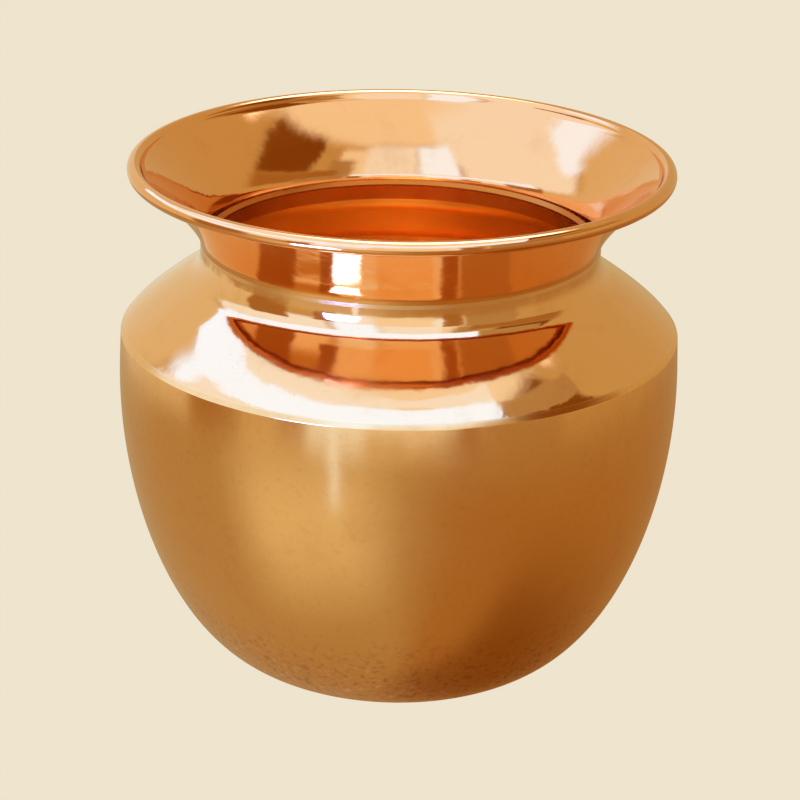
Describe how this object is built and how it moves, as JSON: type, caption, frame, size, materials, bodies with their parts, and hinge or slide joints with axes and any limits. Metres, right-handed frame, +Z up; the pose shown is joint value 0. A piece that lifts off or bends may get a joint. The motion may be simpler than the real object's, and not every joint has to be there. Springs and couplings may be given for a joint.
{
  "type": "lota",
  "caption": "Round copper water pot with a wide bowl, a crisp shoulder line, a narrow neck and a flared mouth with a rolled, wired lip. It stands on a flat base ring.",
  "frame": {"origin": "middle of the base, on the plane that the vessel stands on", "axes": "+Z up along the axis the vessel is turned about; the picture looks along +Y with +X to the right"},
  "size_m": [0.121, 0.121, 0.1119],
  "materials": {
    "bowl_copper": "copper, hand polished, softly hazed and a little stained",
    "polished_copper": "copper, bright polished",
    "wire_copper": "drawn copper wire, dull",
    "brazing_metal": "brass filler, dressed flush and polished with the sheet"
  },
  "bodies": {
    "root": {"bowl": "bowl_copper", "shoulder": "polished_copper", "neck_and_mouth": "polished_copper", "lip_wire": "wire_copper", "shoulder_braze": "brazing_metal", "neck_braze": "brazing_metal"}
  },
  "joints": []
}
